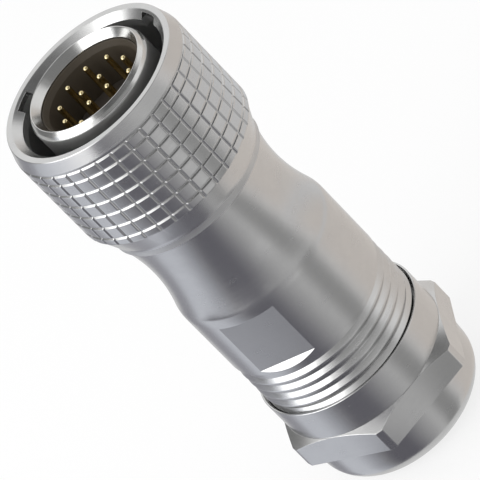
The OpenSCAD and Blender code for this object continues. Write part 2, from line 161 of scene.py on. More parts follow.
def turned_nickel(name, colour, shade, roughness, spread, mark_mm, mark_height_mm, dull=None):
    """Plate on a turned part: a neutral mirror, dulled, with fine tool marks that run round the axis. Where a
    dull zone is given the part is left as it came from the tool, and its reflections spread out."""
    material, tree = new_finish(name)
    place = add(tree, "ShaderNodeTexCoord").outputs["Object"]
    xyz = add(tree, "ShaderNodeSeparateXYZ", {0: place}).outputs
    # Rings of tool marks, drawn coarser than the real ones so that they show
    along = add(tree, "ShaderNodeMath", {0: xyz[2], 1: 1 / (mark_mm * MM)}, operation="MULTIPLY").outputs[0]
    marks = add(tree, "ShaderNodeTexNoise", {
        "W": along, "Scale": 1.0, "Detail": 1.0}, noise_dimensions="1D").outputs[0]
    # Clouding of the plate in patches of 3 mm
    cloud = add(tree, "ShaderNodeTexNoise", {
        "Vector": place, "Scale": 1 / (3.0 * MM), "Detail": 4.0}).outputs[0]
    rough = add(tree, "ShaderNodeMapRange", {
        "Value": cloud, "From Min": NOISE_LOW, "From Max": NOISE_HIGH,
        "To Min": roughness - spread, "To Max": roughness + spread}).outputs[0]
    grain = add(tree, "ShaderNodeMapRange", {
        "Value": marks, "From Min": NOISE_LOW, "From Max": NOISE_HIGH,
        "To Min": -spread, "To Max": spread}).outputs[0]
    rough = add(tree, "ShaderNodeMath", {0: rough, 1: grain}, operation="ADD").outputs[0]
    if dull:
        flat = add(tree, "ShaderNodeCombineXYZ", {0: xyz[0], 1: xyz[1]}).outputs[0]
        radius = add(tree, "ShaderNodeVectorMath", {0: flat}, operation="LENGTH").outputs["Value"]
        beyond = add(tree, "ShaderNodeMath", {
            0: radius, 1: dull["radius"] * MM}, operation=dull["side"]).outputs[0]
        below = add(tree, "ShaderNodeMath", {
            0: xyz[2], 1: dull["height"] * MM}, operation="LESS_THAN").outputs[0]
        zone = add(tree, "ShaderNodeMath", {0: beyond, 1: below}, operation="MULTIPLY").outputs[0]
        rough = add(tree, "ShaderNodeMath", {
            0: zone, 1: dull["more"], 2: rough}, operation="MULTIPLY_ADD").outputs[0]
    tint = add(tree, "ShaderNodeMix", {
        "Factor": cloud, "A": linear(colour), "B": linear(shade)}, data_type="RGBA")
    bump = add(tree, "ShaderNodeBump", {"Height": marks, "Strength": 1.0, "Distance": mark_height_mm * MM})
    shader = add(tree, "ShaderNodeBsdfPrincipled", {
        "Base Color": tint.outputs[2], "Metallic": 1.0, "Roughness": rough, "Normal": bump.outputs[0]})
    add(tree, "ShaderNodeOutputMaterial", {"Surface": shader.outputs[0]})
    return material


def gold_flash_finish():
    """Gold flash on turned pins: a pale warm mirror at the rubbed tips, yellower down the shafts."""
    material, tree = new_finish("gold_flash")
    place = add(tree, "ShaderNodeTexCoord").outputs["Object"]
    # The thin plate is paler in patches of 0.8 mm
    thin = add(tree, "ShaderNodeTexNoise", {
        "Vector": place, "Scale": 1 / (0.8 * MM), "Detail": 3.0}).outputs[0]
    bright = add(tree, "ShaderNodeMix", {
        "Factor": thin, "A": linear("#F6EBC4"), "B": linear("#E8D093")}, data_type="RGBA").outputs[2]
    # The rubbed tip ends between 0.5 and 1.1 mm below the point
    height = add(tree, "ShaderNodeSeparateXYZ", {0: place}).outputs[2]
    tip = add(tree, "ShaderNodeMapRange", {
        "Value": height, "From Min": (PIN_TIP - 1.1) * MM, "From Max": (PIN_TIP - 0.5) * MM}).outputs[0]
    tint = add(tree, "ShaderNodeMix", {"Factor": tip, "A": linear("#E6CF92"), "B": bright}, data_type="RGBA")
    rough = add(tree, "ShaderNodeMapRange", {
        "Value": thin, "From Min": NOISE_LOW, "From Max": NOISE_HIGH, "To Min": 0.16, "To Max": 0.26})
    bump = add(tree, "ShaderNodeBump", {"Height": thin, "Strength": 1.0, "Distance": 0.0008 * MM})
    shader = add(tree, "ShaderNodeBsdfPrincipled", {
        "Base Color": tint.outputs[2], "Metallic": 1.0, "Roughness": rough.outputs[0], "Normal": bump.outputs[0]})
    add(tree, "ShaderNodeOutputMaterial", {"Surface": shader.outputs[0]})
    return material


def moulded_black(name, colour, bloom, roughness, spread, grain_mm, grain_height_mm, gloss):
    """A black moulding: the tool's grain breaks up its sheen, and a faint bloom lightens it in patches."""
    material, tree = new_finish(name)
    place = add(tree, "ShaderNodeTexCoord").outputs["Object"]
    grain = add(tree, "ShaderNodeTexNoise", {
        "Vector": place, "Scale": 1 / (grain_mm * MM), "Detail": 5.0}).outputs[0]
    # Bloom in patches of 4 mm
    patch = add(tree, "ShaderNodeTexNoise", {
        "Vector": place, "Scale": 1 / (4.0 * MM), "Detail": 3.0}).outputs[0]
    tint = add(tree, "ShaderNodeMix", {
        "Factor": patch, "A": linear(colour), "B": linear(bloom)}, data_type="RGBA")
    rough = add(tree, "ShaderNodeMapRange", {
        "Value": grain, "From Min": NOISE_LOW, "From Max": NOISE_HIGH,
        "To Min": roughness - spread, "To Max": roughness + spread})
    bump = add(tree, "ShaderNodeBump", {"Height": grain, "Strength": 1.0, "Distance": grain_height_mm * MM})
    shader = add(tree, "ShaderNodeBsdfPrincipled", {
        "Base Color": tint.outputs[2], "Roughness": rough.outputs[0], "Specular IOR Level": gloss,
        "Normal": bump.outputs[0]})
    add(tree, "ShaderNodeOutputMaterial", {"Surface": shader.outputs[0]})
    return material


# Satin nickel on housing and nut: broad soft bands of light and dark along the plug
satin_nickel = turned_nickel(
    "satin_nickel_plate", "#CFCFCE", "#C7C7C7", roughness=0.25, spread=0.015, mark_mm=0.7, mark_height_mm=0.0005)
# The same plate on the ring: bright grip, and a grey, even bayonet track inside
ring_nickel = turned_nickel(
    "satin_nickel_ring_plate", "#CFCFCE", "#C7C7C7", roughness=0.25, spread=0.015, mark_mm=0.7,
    mark_height_mm=0.0005,
    dull={"radius": TRACK_R + 0.05, "side": "LESS_THAN", "height": RING_TOP - LEAD_IN, "more": 0.25})
# Polished nickel on the barrel: a clear mirror in its mouth, a duller wall outside
polished_nickel = turned_nickel(
    "polished_nickel_plate", "#D4D4D2", "#CDCDCC", roughness=0.18, spread=0.02, mark_mm=0.5,
    mark_height_mm=0.0003,
    dull={"radius": BARREL_R - 0.06, "side": "GREATER_THAN", "height": CREST, "more": 0.28})
# Zinc plate on the inner rings: plain grey with a weak shine
plated_steel = turned_nickel(
    "zinc_plated_steel", "#A9ABAD", "#989B9F", roughness=0.35, spread=0.05, mark_mm=0.5, mark_height_mm=0.0008)
# Hardened and oiled steel on washer and circlip: dark grey, slightly greasy
spring_steel = turned_nickel(
    "oiled_spring_steel", "#6E6E70", "#5C5C60", roughness=0.38, spread=0.06, mark_mm=0.5, mark_height_mm=0.0008)
gold_flash = gold_flash_finish()
# Insert floor: matt, so that the pin tips stand out against it
matt_insert = moulded_black(
    "matt_black_thermoplastic", "#48433E", "#504A45", roughness=0.55, spread=0.08, grain_mm=0.25,
    grain_height_mm=0.004, gloss=0.3)
# Liner: smoother wall with little shine, a warm dark grey in the light
liner_black = moulded_black(
    "black_thermoplastic", "#443E35", "#4D463D", roughness=0.5, spread=0.06, grain_mm=0.25,
    grain_height_mm=0.002, gloss=0.15)
# Nitrile rubber of gasket, ring and bush: deep black with a dull, grainy sheen
black_rubber = moulded_black(
    "black_nitrile_rubber", "#1A1A1B", "#252527", roughness=0.62, spread=0.1, grain_mm=0.35,
    grain_height_mm=0.02, gloss=0.4)


# Turning: outlines with soft edges, turned round the plug's axis
def corner_arc(before, corner, after, radius):
    """Points that round one corner of an outline and leave room for another rounding on the same side. A corner
    that is almost straight, or folded back on itself, stays as it is."""
    shortest, straight, folded, most = 1e-6, 1.55, 0.02, 0.45
    a, c, b = (np.array(p, float) for p in (before, corner, after))
    to_a, to_b = a - c, b - c
    la, lb = np.linalg.norm(to_a), np.linalg.norm(to_b)
    if la < shortest or lb < shortest:
        return [c] * (ROUNDING_STEPS + 1)
    to_a, to_b = to_a / la, to_b / lb
    half = 0.5 * math.acos(max(-1.0, min(1.0, float(to_a @ to_b))))
    if half > straight or half < folded:
        return [c] * (ROUNDING_STEPS + 1)
    reach = min(radius / math.tan(half), most * la, most * lb)
    start, end = c + to_a * reach, c + to_b * reach
    shares = [k / ROUNDING_STEPS for k in range(ROUNDING_STEPS + 1)]
    return [(1 - t) ** 2 * start + 2 * t * (1 - t) * c + t**2 * end for t in shares]


def soft_outline(corners):
    """A closed outline of (radius, height, rounding) corners as points. A corner with no rounding stays as it is.
    Each side that ends in a rounding gets a point near both ends, which keeps the shading of flat bands flat."""
    from_end, most, shortest = 0.12, 0.25, 1e-9
    count = len(corners)
    arcs = []
    for i, (r, z, rounding) in enumerate(corners):
        if rounding:
            arcs.append(corner_arc(corners[i - 1][:2], (r, z), corners[(i + 1) % count][:2], rounding))
        else:
            arcs.append([np.array((r, z), float)])
    points = []
    for i in range(count):
        points += arcs[i]
        start, end = arcs[i][-1], arcs[(i + 1) % count][0]
        if corners[i][2] or corners[(i + 1) % count][2]:
            length = max(np.linalg.norm(end - start), shortest)
            near = min(from_end, most * length) / length
            points += [start + (end - start) * near, start + (end - start) * (1 - near)]
    return np.array(points)


def turned_piece(name, corners_at, angles, material):
    """Turns an outline, which may change with the angle, round the plug's axis into one closed mesh."""
    weld, sliver = 2e-7, 1e-7
    rings = [soft_outline(corners_at(a)) for a in angles]
    size, count = len(rings[0]), len(rings)
    verts = []
    for a, ring in zip(angles, rings):
        ca, sa = math.cos(math.radians(a)), math.sin(math.radians(a))
        verts += [(r * ca * MM, r * sa * MM, z * MM) for r, z in ring]
    faces = []
    for j in range(count):
        k = (j + 1) % count
        for i in range(size):
            n = (i + 1) % size
            faces.append((j * size + i, k * size + i, k * size + n, j * size + n))
    mesh = bpy.data.meshes.new(name)
    mesh.from_pydata(verts, [], faces)
    work = bmesh.new()
    work.from_mesh(mesh)
    bmesh.ops.remove_doubles(work, verts=work.verts, dist=weld)
    bmesh.ops.dissolve_degenerate(work, edges=work.edges, dist=sliver)
    bmesh.ops.recalc_face_normals(work, faces=work.faces)
    work.to_mesh(mesh)
    work.free()
    mesh.polygons.foreach_set("use_smooth", [True] * len(mesh.polygons))
    mesh.materials.append(material)
    piece = bpy.data.objects.new(name, mesh)
    bpy.context.scene.collection.objects.link(piece)
    return piece


def even_angles(count):
    """Angles that share a full turn evenly, in degrees."""
    return [360.0 * i / count for i in range(count)]


def apart(a, b):
    """How far two angles lie apart, in degrees."""
    return abs((a - b + 180) % 360 - 180)


def angles_near(base, edges, offsets):
    """Even angles with more of them beside each edge; plain ones too close to those are left out."""
    too_close = 0.35
    close = sorted({round((e + o) % 360, 4) for e in edges for o in offsets})
    return sorted([a for a in base if all(apart(a, c) > too_close for c in close)] + close)


def dress(piece, body, slot, *replaced):
    """Puts a finished piece on its body and in the place of its solids. The slot is not used."""
    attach(piece, body)
    if replaced:
        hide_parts(*replaced)


# Geometry node trees
def new_tree(name, floats=(), integers=()):
    """A geometry node tree with a geometry, numbers and a finish going in, and the sockets they arrive at."""
    tree = bpy.data.node_groups.new(name, "GeometryNodeTree")
    sockets = [("Geometry", "NodeSocketGeometry")] + [(n, "NodeSocketFloat") for n in floats]
    sockets += [(n, "NodeSocketInt") for n in integers] + [("Finish", "NodeSocketMaterial")]
    for label, kind in sockets:
        tree.interface.new_socket(label, in_out="INPUT", socket_type=kind)
    tree.interface.new_socket("Geometry", in_out="OUTPUT", socket_type="NodeSocketGeometry")
    return tree, add(tree, "NodeGroupInput").outputs


def end_tree(tree, geometry, finish):
    """Realizes what a tree made, gives it its finish and sends it out."""
    whole = add(tree, "GeometryNodeRealizeInstances", {0: geometry}).outputs[0]
    dressed = add(tree, "GeometryNodeSetMaterial", {"Geometry": whole, "Material": finish}).outputs[0]
    add(tree, "NodeGroupOutput", {0: dressed})
    return tree


def plain_mesh(piece, tree, inputs):
    """Runs a node tree on a piece with its inputs set, and leaves the result as a plain mesh."""
    modifier = piece.modifiers.new(tree.name, "NODES")
    modifier.node_group = tree
    sockets = {s.name: s.identifier for s in tree.interface.items_tree if s.in_out == "INPUT"}
    for key, value in inputs.items():
        modifier[sockets[key]] = value
    made = bpy.data.meshes.new_from_object(piece.evaluated_get(bpy.context.evaluated_depsgraph_get()))
    piece.modifiers.remove(modifier)
    old = piece.data
    piece.data = made
    bpy.data.meshes.remove(old)
    return piece


def groove(tree, distance, depth):
    """Depth of a groove at a distance from its middle, with a rounded bottom and rounded edges."""
    half_width = add(tree, "ShaderNodeMath", {0: depth, 1: GROOVE_SHAPE}, operation="MULTIPLY").outputs[0]
    return add(tree, "ShaderNodeMapRange", {
        "Value": distance, "From Min": 0.0, "From Max": half_width, "To Min": depth, "To Max": 0.0},
        interpolation_type="SMOOTHSTEP").outputs[0]


def knurl_tree():
    """Presses grooves into a turned grip: lengthwise ones at even angles, and rings at even heights."""
    tree, given = new_tree("knurled_grip", (
        "Columns", "Turn", "Column depth", "Row depth", "Low", "Top", "First row", "Row pitch", "Rows", "Radius",
        "Inside radius"))
    place = add(tree, "GeometryNodeInputPosition").outputs[0]
    xyz = add(tree, "ShaderNodeSeparateXYZ", {0: place}).outputs
    flat = add(tree, "ShaderNodeCombineXYZ", {0: xyz[0], 1: xyz[1]}).outputs[0]
    radius = add(tree, "ShaderNodeVectorMath", {0: flat}, operation="LENGTH").outputs["Value"]
    outward = add(tree, "ShaderNodeVectorMath", {0: flat}, operation="NORMALIZE").outputs[0]
    # Arc from the nearest lengthwise groove: the angle folded back and forth over half a pitch
    angle = add(tree, "ShaderNodeMath", {0: xyz[1], 1: xyz[0]}, operation="ARCTAN2").outputs[0]
    half_pitch = add(tree, "ShaderNodeMath", {0: math.pi, 1: given["Columns"]}, operation="DIVIDE").outputs[0]
    from_first = add(tree, "ShaderNodeMath", {0: angle, 1: given["Turn"]}, operation="SUBTRACT").outputs[0]
    off = add(tree, "ShaderNodeMath", {0: from_first, 1: half_pitch}, operation="PINGPONG").outputs[0]
    arc = add(tree, "ShaderNodeMath", {0: off, 1: given["Radius"]}, operation="MULTIPLY").outputs[0]
    column = groove(tree, arc, given["Column depth"])
    above = add(tree, "ShaderNodeMath", {0: xyz[2], 1: given["Low"]}, operation="GREATER_THAN").outputs[0]
    below = add(tree, "ShaderNodeMath", {0: xyz[2], 1: given["Top"]}, operation="LESS_THAN").outputs[0]
    between = add(tree, "ShaderNodeMath", {0: above, 1: below}, operation="MULTIPLY").outputs[0]
    column = add(tree, "ShaderNodeMath", {0: column, 1: between}, operation="MULTIPLY").outputs[0]
    # Distance from the nearest ring groove, with one at each end of the grip
    first_z = add(tree, "ShaderNodeMath", {0: given["Top"], 1: given["First row"]}, operation="SUBTRACT").outputs[0]
    drop = add(tree, "ShaderNodeMath", {0: first_z, 1: xyz[2]}, operation="SUBTRACT").outputs[0]
    rows = add(tree, "ShaderNodeMath", {0: drop, 1: given["Row pitch"]}, operation="DIVIDE").outputs[0]
    nearest = add(tree, "ShaderNodeMath", {0: rows}, operation="ROUND").outputs[0]
    last = add(tree, "ShaderNodeMath", {0: given["Rows"], 1: 1.0}, operation="SUBTRACT").outputs[0]
    kept = add(tree, "ShaderNodeClamp", {"Value": nearest, "Min": 0.0, "Max": last}).outputs[0]
    away = add(tree, "ShaderNodeMath", {0: rows, 1: kept}, operation="SUBTRACT").outputs[0]
    away = add(tree, "ShaderNodeMath", {0: away, 1: given["Row pitch"]}, operation="MULTIPLY").outputs[0]
    away = add(tree, "ShaderNodeMath", {0: away}, operation="ABSOLUTE").outputs[0]
    for end in ("Top", "Low"):
        gap = add(tree, "ShaderNodeMath", {0: xyz[2], 1: given[end]}, operation="SUBTRACT").outputs[0]
        gap = add(tree, "ShaderNodeMath", {0: gap}, operation="ABSOLUTE").outputs[0]
        away = add(tree, "ShaderNodeMath", {0: away, 1: gap}, operation="MINIMUM").outputs[0]
    row = groove(tree, away, given["Row depth"])
    depth = add(tree, "ShaderNodeMath", {0: column, 1: row}, operation="MAXIMUM").outputs[0]
    inward = add(tree, "ShaderNodeMath", {0: depth, 1: -1.0}, operation="MULTIPLY").outputs[0]
    offset = add(tree, "ShaderNodeVectorMath", {0: outward, "Scale": inward}, operation="SCALE").outputs[0]
    outside = add(tree, "FunctionNodeCompare", {0: radius, 1: given["Inside radius"]}, operation="GREATER_THAN")
    pressed = add(tree, "GeometryNodeSetPosition", {
        "Geometry": given["Geometry"], "Selection": outside.outputs[0], "Offset": offset}).outputs[0]
    return end_tree(tree, pressed, given["Finish"])


def thread_tree():
    """A rounded ridge that climbs round the axis and fades at both ends, standing outwards or inwards."""
    end_size, edge_steps, foot_angle = 0.02, 4, 0.7
    tree, given = new_tree("screw_thread", (
        "Turns", "Pitch", "Radius", "Depth", "Sunk", "Base width", "Crest width", "Crest shift", "Edge", "Low",
        "Turn", "Fade", "Facing"), ("Points a turn",))
    rise = add(tree, "ShaderNodeMath", {0: given["Turns"], 1: given["Pitch"]}, operation="MULTIPLY").outputs[0]
    helix = add(tree, "GeometryNodeCurveSpiral", {
        "Resolution": given["Points a turn"], "Rotations": given["Turns"], "Start Radius": given["Radius"],
        "End Radius": given["Radius"], "Height": rise, "Reverse": True}).outputs[0]
    helix = add(tree, "GeometryNodeSetCurveNormal", {"Curve": helix}, mode="Z_UP").outputs[0]
    share = add(tree, "GeometryNodeSplineParameter").outputs["Factor"]
    from_end = add(tree, "ShaderNodeMath", {0: share, 1: 0.5}, operation="PINGPONG").outputs[0]
    size = add(tree, "ShaderNodeMapRange", {
        "Value": from_end, "From Min": 0.0, "From Max": given["Fade"], "To Min": end_size, "To Max": 1.0},
        interpolation_type="SMOOTHSTEP").outputs[0]
    tall = add(tree, "ShaderNodeMath", {0: given["Depth"], 1: given["Sunk"]}, operation="ADD").outputs[0]
    section = add(tree, "GeometryNodeCurvePrimitiveQuadrilateral", {
        "Height": tall, "Bottom Width": given["Base width"], "Top Width": given["Crest width"],
        "Offset": given["Crest shift"]}, mode="TRAPEZOID").outputs[0]
    # Only the crest is rounded, so that the foot keeps its width
    corner = add(tree, "ShaderNodeSeparateXYZ", {0: add(tree, "GeometryNodeInputPosition").outputs[0]}).outputs[1]
    crest = add(tree, "ShaderNodeMath", {0: corner, 1: 0.0}, operation="GREATER_THAN").outputs[0]
    edge = add(tree, "ShaderNodeMath", {0: crest, 1: given["Edge"]}, operation="MULTIPLY").outputs[0]
    section = add(tree, "GeometryNodeFilletCurve", {
        "Curve": section, "Count": edge_steps, "Radius": edge, "Limit Radius": True}, mode="POLY").outputs[0]
    half = add(tree, "ShaderNodeMath", {0: tall, 1: 0.5}, operation="MULTIPLY").outputs[0]
    lift = add(tree, "ShaderNodeMath", {0: half, 1: given["Sunk"]}, operation="SUBTRACT").outputs[0]
    lifted = add(tree, "ShaderNodeCombineXYZ", {1: lift}).outputs[0]
    section = add(tree, "GeometryNodeTransform", {"Geometry": section, "Translation": lifted}).outputs[0]
    facing = add(tree, "ShaderNodeCombineXYZ", {2: given["Facing"]}).outputs[0]
    section = add(tree, "GeometryNodeTransform", {"Geometry": section, "Rotation": facing}).outputs[0]
    ridge = add(tree, "GeometryNodeCurveToMesh", {
        "Curve": helix, "Profile Curve": section, "Scale": size, "Fill Caps": True}).outputs[0]
    up = add(tree, "ShaderNodeCombineXYZ", {2: given["Low"]}).outputs[0]
    round_axis = add(tree, "ShaderNodeCombineXYZ", {2: given["Turn"]}).outputs[0]
    ridge = add(tree, "GeometryNodeTransform", {
        "Geometry": ridge, "Translation": up, "Rotation": round_axis}).outputs[0]
    smooth = add(tree, "GeometryNodeSetShadeSmooth", {"Geometry": ridge, "Shade Smooth": True}).outputs[0]
    # The foot stays crisp, so that the flanks keep their own slope in the light
    bend = add(tree, "GeometryNodeInputMeshEdgeAngle").outputs["Unsigned Angle"]
    foot = add(tree, "FunctionNodeCompare", {
        0: bend, 1: foot_angle}, operation="GREATER_THAN").outputs[0]
    smooth = add(tree, "GeometryNodeSetShadeSmooth", {
        "Geometry": smooth, "Selection": foot, "Shade Smooth": False}, domain="EDGE").outputs[0]
    return end_tree(tree, smooth, given["Finish"])


def pin_circle_tree():
    """Copies one pin to even places on two circles, its cup's opening turned outwards."""
    tree, given = new_tree("contact_circles", ("Outer radius", "Outer turn", "Inner radius", "Inner turn"),
                           ("Outer pins", "Inner pins"))
    circles = []
    for ring in ("Outer", "Inner"):
        circle = add(tree, "GeometryNodeMeshCircle", {
            "Vertices": given[ring + " pins"], "Radius": given[ring + " radius"]}).outputs[0]
        turn = add(tree, "ShaderNodeCombineXYZ", {2: given[ring + " turn"]}).outputs[0]
        circles.append(add(tree, "GeometryNodeTransform", {"Geometry": circle, "Rotation": turn}).outputs[0])
    both = add(tree, "GeometryNodeJoinGeometry")
    for circle in circles:
        tree.links.new(circle, both.inputs[0])
    place = add(tree, "GeometryNodeInputPosition").outputs[0]
    outwards = add(tree, "FunctionNodeAlignRotationToVector", {"Vector": place}, axis="X").outputs[0]
    pins = add(tree, "GeometryNodeInstanceOnPoints", {
        "Points": both.outputs[0], "Instance": given["Geometry"], "Rotation": outwards}).outputs[0]
    return end_tree(tree, pins, given["Finish"])


# Coupling ring
def grip_heights():
    """Heights of the points along the grip, close together across each ring groove."""
    grooves = [KNURL_TOP, KNURL_LOW] + [KNURL_TOP - FIRST_ROW - k * ROW_PITCH for k in range(ROW_COUNT)]
    steps = [ROW_DEPTH * GROOVE_SHAPE * s for s in GROOVE_STEPS]
    return sorted(z for g in grooves for z in (round(g + s, 4) for s in steps) if KNURL_LOW < z < KNURL_TOP)


def ring_corners(angle):
    """The coupling ring's outline at one angle, from its rear edge up the grip and down the bayonet track."""
    slope = (RING_R - TAIL_R) / (TAPER_LEN - TAIL_LAND)
    notch = min(apart(angle, middle) for middle in NOTCHES) < NOTCH_ANGLE / 2
    lip_r, lead_r = (NOTCH_R if notch else LIP_R), LIP_R + LEAD_IN
    # The rear edge comes closer to the housing than the solid, for the fine running gap of the real one
    corners = [(TAIL_R, RING_LOW - TAIL_DROP, 0.06)]
    for k in range(TAIL_STEPS + 1):
        # Hollow blend from the straight end into the taper, up to twice the land's length
        t = k / TAIL_STEPS
        corners.append((TAIL_R + slope * TAIL_LAND * t * t, RING_LOW + TAIL_LAND * (0.2 + 1.8 * t), 0))
    corners.append((RING_R, KNURL_LOW, 0))
    corners += [(RING_R, z, 0) for z in grip_heights()]
    # The front band starts with the upper half of the grip's last ring groove
    band = [ROW_DEPTH * GROOVE_SHAPE * s for s in [s for s in GROOVE_STEPS if s >= 0] + [4.0, 7.0]]
    corners += [(RING_R - BAND_STEP * s / BAND_LEN, KNURL_TOP + s, 0) for s in band]
    corners += [
        (RING_R - BAND_STEP, RING_TOP, 0.18), (lead_r, RING_TOP, 0.35),
        (lip_r, RING_TOP - lead_r + lip_r, 0.15), (lip_r, RING_TOP - LEAD_IN - LIP_LEN, 0.12),
        (TRACK_R, RING_TOP - LEAD_IN - LIP_LEN, 0.12), (TRACK_R, RING_LOW + RECESS_LEN + WEB_T, 0.2),
        (JOURNAL_R + RUN_GAP, RING_LOW + RECESS_LEN + WEB_T, 0.15),
        (JOURNAL_R + RUN_GAP, RING_LOW + RECESS_LEN, 0.15),
        (RECESS_R, RING_LOW + RECESS_LEN, 0.2), (RECESS_R, RING_LOW - TAIL_DROP, 0.15)]
    return corners


def coupling_ring():
    """The ring: turned with its notches at angles that suit the grooves, then knurled."""
    wall, too_close, pad_angles = 0.12, 0.1, [3.4, 5.0, 6.6]
    half = math.degrees(COLUMN_DEPTH * GROOVE_SHAPE / RING_R)
    grooves = [KNURL_TURN + k * 360 / KNURL_COLUMNS for k in range(KNURL_COLUMNS)]
    offsets = [half * s for s in GROOVE_STEPS] + pad_angles
    edges = [middle + s * NOTCH_ANGLE / 2 for middle in NOTCHES for s in (-1, 1)]
    walls = {round((e + o) % 360, 4) for e in edges for o in (-wall, wall)}
    angles = {round((g + o) % 360, 4) for g in grooves for o in offsets}
    angles = walls | {a for a in angles if all(apart(a, w) > too_close for w in walls)}
    between_walls = TRACK_R + 1.2
    ring = turned_piece("knurled_coupling_ring", ring_corners, sorted(angles), ring_nickel)
    plain_mesh(ring, knurl_tree(), {
        "Columns": float(KNURL_COLUMNS), "Turn": math.radians(KNURL_TURN), "Column depth": COLUMN_DEPTH * MM,
        "Row depth": ROW_DEPTH * MM, "Low": KNURL_LOW * MM, "Top": KNURL_TOP * MM, "First row": FIRST_ROW * MM,
        "Row pitch": ROW_PITCH * MM, "Rows": float(ROW_COUNT), "Radius": RING_R * MM,
        "Inside radius": between_walls * MM, "Finish": ring_nickel})
    dress(ring, "coupling", "satin_nickel", "coupling_ring")


# Plug shell
def shell_corners(_angle):
    """The shell's outline: joint with its cord groove, journal with its clip groove, flange, barrel and bore."""
    cord_top = FACE - CORD_LAND
    clip_r = JOURNAL_R - CLIP_DEPTH
    clip_low, clip_top = CLIP_LOW - RUN_GAP, CLIP_TOP + RUN_GAP
    grip_r, grip_top = BARREL_R - GASKET_GRIP, GASKET_TOP + SEAT_GAP
    flange_low = GASKET_LOW - FLANGE_T
    edge_r = BARREL_R - NOSE_W
    return [
        (INSERT_BORE_R, SHELL_LOW, 0.15), (JOINT_R - START_CHAMFER, SHELL_LOW, 0.08),
        (JOINT_R, SHELL_LOW + START_CHAMFER, 0.08),
        (JOINT_R, cord_top - CORD_GROOVE_W, 0.05), (CORD_GROOVE_R, cord_top - CORD_GROOVE_W, 0.1),
        (CORD_GROOVE_R, cord_top, 0.1), (JOINT_R, cord_top, 0.05), (JOINT_R, FACE, 0.05), (JOURNAL_R, FACE, 0.1),
        (JOURNAL_R, clip_low, 0.05), (clip_r, clip_low, 0.08), (clip_r, clip_top, 0.08),
        (JOURNAL_R, clip_top, 0.05), (JOURNAL_R, flange_low, 0.1), (FLANGE_R, flange_low, 0.15),
        (FLANGE_R, GASKET_LOW, 0.15), (grip_r, GASKET_LOW, 0.1), (grip_r, grip_top, 0.06),
        (BARREL_R, grip_top, 0.06),
        (BARREL_R, CREST - NOSE_LEN, 0.4), (BARREL_R - 0.4 * NOSE_W, CREST - 0.5 * NOSE_LEN, 0.5),
        (edge_r, CREST, 0.12), (edge_r - EDGE_W, CREST, 0.12), (BORE_R, CREST - MOUTH_LEN, 0.12),
        (BORE_R, INSERT_LOW, 0.08), (INSERT_BORE_R, INSERT_LOW, 0.08)]


def plug_shell():
    shell = turned_piece("polished_plug_shell", shell_corners, even_angles(SHELL_SIDES), polished_nickel)
    dress(shell, "plug", "polished_nickel", "plug_shell")


# Insulating liner with its polarising key
def liner_corners(angle):
    """The liner's outline at one angle, with the flat top of the key on the near wall."""
    off = apart(angle, KEY_TURN)
    key_r = WELL_R - KEY_H
    bevel_r = WELL_R + RIM_BEVEL * (PIN_TIP - LINER_TOP + RIM_BEVEL_LEN) / RIM_BEVEL_LEN
    keyed = off < math.degrees(math.asin(KEY_W / 2 / key_r))
    well_r, step_z = WELL_R, LINER_TOP - RIM_BEVEL_LEN
    if keyed:
        well_r, step_z = key_r / math.cos(math.radians(off)), PIN_TIP
    return [(well_r, LINER_LOW, 0.05), (LINER_R, LINER_LOW, 0.05), (LINER_R, LINER_TOP, 0.06),
            (WELL_R + RIM_BEVEL, LINER_TOP, 0.1), (bevel_r, PIN_TIP, 0.02), (well_r, step_z, 0.1)]


def insulator_liner():
    """The liner, with its points close together at the key's sides."""
    edge = math.degrees(math.asin(KEY_W / 2 / (WELL_R - KEY_H)))
    angles = angles_near(even_angles(LINER_SIDES), (KEY_TURN - edge, KEY_TURN + edge), (-0.15, 0.15))
    liner = turned_piece("keyed_insulator_liner", liner_corners, angles, liner_black)
    dress(liner, "plug", "black_insulator", "insulator_liner")


# Contact pins
def pin_corners(angle):
    """One pin's outline about its own axis: solder cup scooped open on one side, contact, slim pin, round tip."""
    cup_top = PIN_LOW + CUP_LEN
    rim = PIN_LOW + (CUP_LEN / 2 if apart(angle, 0) < 90 else 0)
    bore_r, shoulder = CUP_R - CUP_WALL, INSERT_FLOOR - GUIDE_LEN
    corners = [(0, cup_top - CUP_R, 0), (bore_r, cup_top - CUP_R, 0.1), (bore_r, rim, 0.05), (CUP_R, rim, 0.05),
               (CUP_R, cup_top - SEAT_GAP, 0.1), (CONTACT_R, cup_top - SEAT_GAP, 0.05), (CONTACT_R, shoulder, 0.1),
               (PIN_R, shoulder, 0.05), (PIN_R, PIN_TIP - PIN_R, 0)]
    for k in range(1, TIP_STEPS + 1):
        a = math.pi / 2 * k / TIP_STEPS
        corners.append((PIN_R * math.cos(a), PIN_TIP - PIN_R * (1 - math.sin(a)), 0))
    return corners


def contact_pins():
    """One pin, copied to its two circles. Its cup is scooped open over half a turn."""
    angles = angles_near(even_angles(PIN_SIDES), (90, 270), (-0.5, 0.5))
    pins = turned_piece("gold_contact_pins", pin_corners, angles, gold_flash)
    plain_mesh(pins, pin_circle_tree(), {
        "Outer radius": OUTER_CIRCLE_R * MM, "Outer turn": math.radians(OUTER_TURN), "Outer pins": OUTER_PINS,
        "Inner radius": INNER_CIRCLE_R * MM, "Inner turn": math.radians(INNER_TURN), "Inner pins": INNER_PINS,
        "Finish": gold_flash})
    dress(pins, "plug", "gold_plate", *(f"contact_pin_{i + 1}" for i in range(OUTER_PINS + INNER_PINS)))


